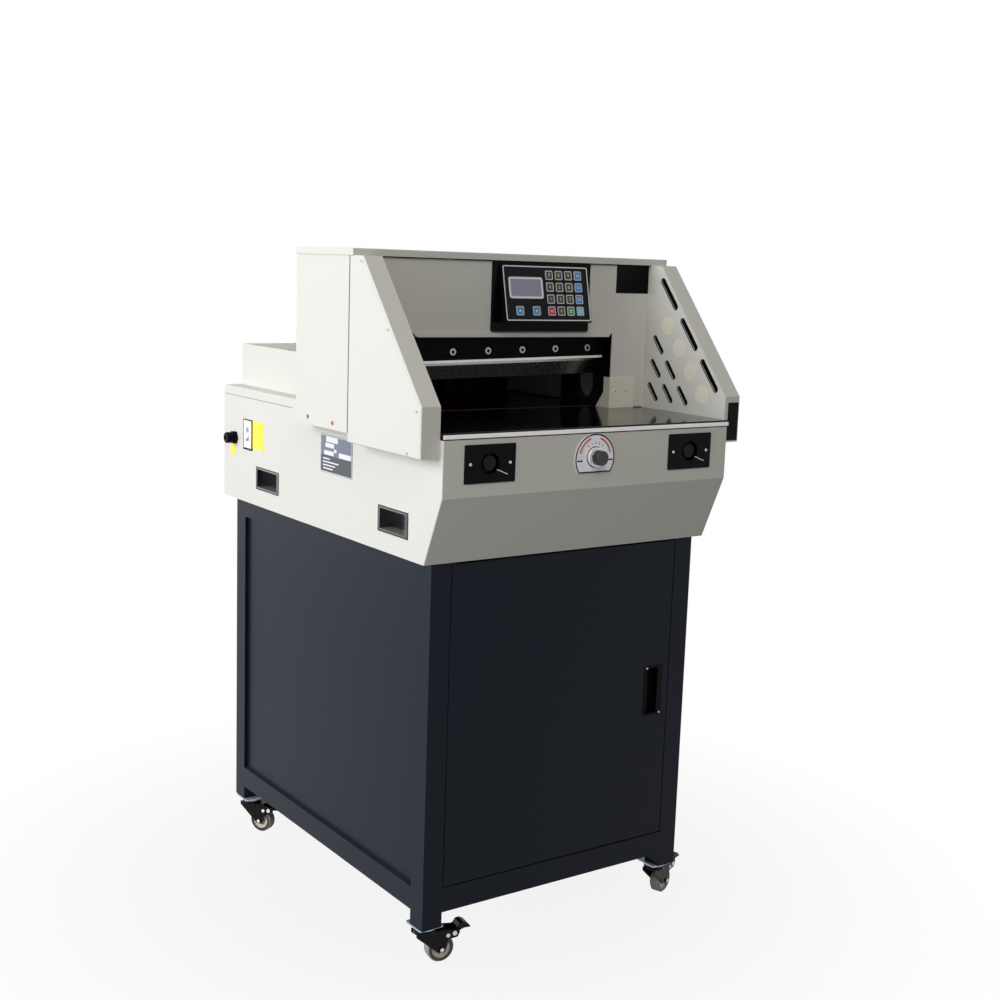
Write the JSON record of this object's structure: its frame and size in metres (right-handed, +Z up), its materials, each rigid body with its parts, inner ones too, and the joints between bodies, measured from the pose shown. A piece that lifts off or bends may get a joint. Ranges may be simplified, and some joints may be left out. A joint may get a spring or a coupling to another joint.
{
  "type": "guillotine paper cutter",
  "caption": "Electric guillotine paper cutter: slanted-stroke knife, clamp and back gauge over a steel table, sloping side guards, keypad, cabinet with door on swivel castors.",
  "frame": {"origin": "on the floor under the middle of the machine's bounding box", "axes": "+Z up, the operator's side faces -Y, +X to the operator's right"},
  "size_m": [0.6976, 0.864, 1.24],
  "materials": {
    "cream_paint": "satin",
    "steel_table": "polished",
    "bright_strip": "polished",
    "cut_stick": "matt",
    "casting": "painted",
    "blade_steel": "ground",
    "bar_black": "satin",
    "bronze": "machined",
    "machined_steel": "machined",
    "motor_paint": "painted",
    "panel_black": "matt",
    "keypad": "satin",
    "window": "clear",
    "button_green": "gloss",
    "black_plastic": "matt",
    "breaker_white": "gloss",
    "dial_plate": "satin",
    "cabinet_paint": "satin",
    "castor_zinc": "plated",
    "castor_black": "gloss",
    "castor_tread": "matt"
  },
  "bodies": {
    "machine": {"base_shell": "cream_paint", "front_trim": "bright_strip", "work_table": "steel_table", "cut_stick": "cut_stick", "rear_lid": "cream_paint", "dust_cover": "cream_paint", "guard_left": "cream_paint", "guard_right": "cream_paint", "guard_liners": "cream_paint", "column_cover_left": "cream_paint", "column_cover_right": "cream_paint", "top_cap": "cream_paint", "fascia": "cream_paint", "head_rear_cover": "cream_paint", "side_frames": "casting", "bed_casting": "casting", "crossbeam": "casting", "drive_reducer": "casting", "drive_motor": "motor_paint", "gauge_slideway": "machined_steel", "gauge_motor": "motor_paint", "control_housing": "panel_black", "control_panel": "keypad", "display_window": "window", "button_plate_left": "panel_black", "button_plate_right": "panel_black", "trim_dial_plate": "dial_plate", "recess_grips": "panel_black", "breaker_body": "breaker_white", "cable_gland": "black_plastic", "side_fence": "cream_paint", "cabinet_frame": "cabinet_paint", "cabinet_sides": "cabinet_paint", "cabinet_back": "cabinet_paint", "castor_plates": "castor_zinc"},
    "knife_guides": {"guide_blocks": "bronze"},
    "knife": {"knife_blade": "blade_steel", "knife_bar": "bar_black"},
    "pull_rod": {"pull_rod": "machined_steel"},
    "crank": {"crank_disc": "machined_steel"},
    "clamp": {"clamp_beam": "blade_steel"},
    "clamp_nut": {"clamp_nut": "bronze"},
    "back_gauge": {"back_gauge": "casting"},
    "gauge_screw": {"gauge_screw": "machined_steel"},
    "door": {"cabinet_door": "cabinet_paint", "door_pull": "panel_black"},
    "trim_knob": {"trim_knob": "black_plastic"},
    "cut_button_left": {"cut_button_left": "button_green"},
    "cut_button_right": {"cut_button_right": "button_green"},
    "breaker_toggle": {"breaker_toggle": "black_plastic"},
    "castor_front_left": {"castor_fork_front_left": "castor_black"},
    "wheel_front_left": {"castor_wheel_front_left": "castor_tread"},
    "pedal_front_left": {"brake_pedal_front_left": "castor_black"},
    "castor_front_right": {"castor_fork_front_right": "castor_black"},
    "wheel_front_right": {"castor_wheel_front_right": "castor_tread"},
    "pedal_front_right": {"brake_pedal_front_right": "castor_black"},
    "castor_rear_left": {"castor_fork_rear_left": "castor_black"},
    "wheel_rear_left": {"castor_wheel_rear_left": "castor_tread"},
    "castor_rear_right": {"castor_fork_rear_right": "castor_black"},
    "wheel_rear_right": {"castor_wheel_rear_right": "castor_tread"}
  },
  "joints": [
    {"name": "knife_stroke", "type": "slide", "parent": "machine", "child": "knife_guides", "axis": [0.2588, 0, -0.9659], "range_m": [0, 0.0591]},
    {"name": "knife_level", "type": "hinge", "parent": "knife_guides", "child": "knife", "pos_m": [-0.16153, -0.1343, 1.1423], "axis": [0, 1, 0], "range_deg": [0, 1.11]},
    {"name": "pull_rod_swing", "type": "hinge", "parent": "knife", "child": "pull_rod", "pos_m": [-0.24893, -0.1343, 1.0586], "axis": [0, 1, 0], "range_deg": [0, 2.4]},
    {"name": "crank_turn", "type": "hinge", "parent": "machine", "child": "crank", "pos_m": [-0.24893, -0.113, 0.8051], "axis": [0, 1, 0], "range_deg": [0, 180.5]},
    {"name": "clamp_press", "type": "slide", "parent": "machine", "child": "clamp", "axis": [0, 0, -1], "range_m": [0, 0.0675]},
    {"name": "clamp_nut_turn", "type": "hinge", "parent": "machine", "child": "clamp_nut", "pos_m": [0, -0.0885, 1.175], "axis": [0, 0, 1], "continuous": true},
    {"name": "gauge_travel", "type": "slide", "parent": "machine", "child": "back_gauge", "axis": [0, -1, 0], "range_m": [-0.145, 0.215]},
    {"name": "gauge_screw_turn", "type": "hinge", "parent": "machine", "child": "gauge_screw", "pos_m": [0, 0.152, 0.905], "axis": [0, 1, 0], "continuous": true},
    {"name": "door_hinge", "type": "hinge", "parent": "machine", "child": "door", "pos_m": [-0.245, -0.3475, 0.435], "axis": [0, 0, -1], "range_deg": [0, 110]},
    {"name": "trim_knob_turn", "type": "hinge", "parent": "machine", "child": "trim_knob", "pos_m": [0, -0.418, 0.8995], "axis": [0, 1, 0], "range_deg": [-60, 60]},
    {"name": "cut_button_left_push", "type": "slide", "parent": "machine", "child": "cut_button_left", "axis": [0, 1, 0], "range_m": [0, 0.004], "stiffness_N_per_m": 600, "springref_m": -0.001},
    {"name": "cut_button_right_push", "type": "slide", "parent": "machine", "child": "cut_button_right", "axis": [0, 1, 0], "range_m": [0, 0.004], "stiffness_N_per_m": 600, "springref_m": -0.001},
    {"name": "breaker_toggle_flip", "type": "hinge", "parent": "machine", "child": "breaker_toggle", "pos_m": [-0.307, 0.318, 0.866], "axis": [0, 1, 0], "range_deg": [0, 75]},
    {"name": "swivel_front_left", "type": "hinge", "parent": "machine", "child": "castor_front_left", "pos_m": [-0.266, -0.322, 0.064], "axis": [0, 0, 1], "continuous": true},
    {"name": "roll_front_left", "type": "hinge", "parent": "castor_front_left", "child": "wheel_front_left", "pos_m": [-0.23842, -0.32686, 0.025], "axis": [0.1736, 0.9848, 0], "continuous": true},
    {"name": "brake_front_left", "type": "hinge", "parent": "castor_front_left", "child": "pedal_front_left", "pos_m": [-0.21479, -0.33103, 0.052], "axis": [0.1736, 0.9848, 0], "range_deg": [0, 12]},
    {"name": "swivel_front_right", "type": "hinge", "parent": "machine", "child": "castor_front_right", "pos_m": [0.266, -0.322, 0.064], "axis": [0, 0, 1], "continuous": true},
    {"name": "roll_front_right", "type": "hinge", "parent": "castor_front_right", "child": "wheel_front_right", "pos_m": [0.29231, -0.31242, 0.025], "axis": [-0.342, 0.9397, 0], "continuous": true},
    {"name": "brake_front_right", "type": "hinge", "parent": "castor_front_right", "child": "pedal_front_right", "pos_m": [0.31486, -0.30422, 0.052], "axis": [-0.342, 0.9397, 0], "range_deg": [0, 12]},
    {"name": "swivel_rear_left", "type": "hinge", "parent": "machine", "child": "castor_rear_left", "pos_m": [-0.266, 0.383, 0.064], "axis": [0, 0, 1], "continuous": true},
    {"name": "roll_rear_left", "type": "hinge", "parent": "castor_rear_left", "child": "wheel_rear_left", "pos_m": [-0.252, 0.35875, 0.025], "axis": [0.866, 0.5, 0], "continuous": true},
    {"name": "swivel_rear_right", "type": "hinge", "parent": "machine", "child": "castor_rear_right", "pos_m": [0.266, 0.383, 0.064], "axis": [0, 0, 1], "continuous": true},
    {"name": "roll_rear_right", "type": "hinge", "parent": "castor_rear_right", "child": "wheel_rear_right", "pos_m": [0.28084, 0.35925, 0.025], "axis": [0.848, 0.5299, 0], "continuous": true}
  ],
  "couplings": [
    {"joint": "knife_level", "follows": "knife_stroke", "rad_per_m": 0.32485},
    {"joint": "pull_rod_swing", "follows": "knife_stroke", "rad_per_m": 0.70191},
    {"joint": "crank_turn", "follows": "knife_stroke", "rad_per_m": 53.157},
    {"joint": "clamp_nut_turn", "follows": "clamp_press", "rad_per_m": 1256.6},
    {"joint": "gauge_screw_turn", "follows": "gauge_travel", "rad_per_m": 1256.6}
  ]
}
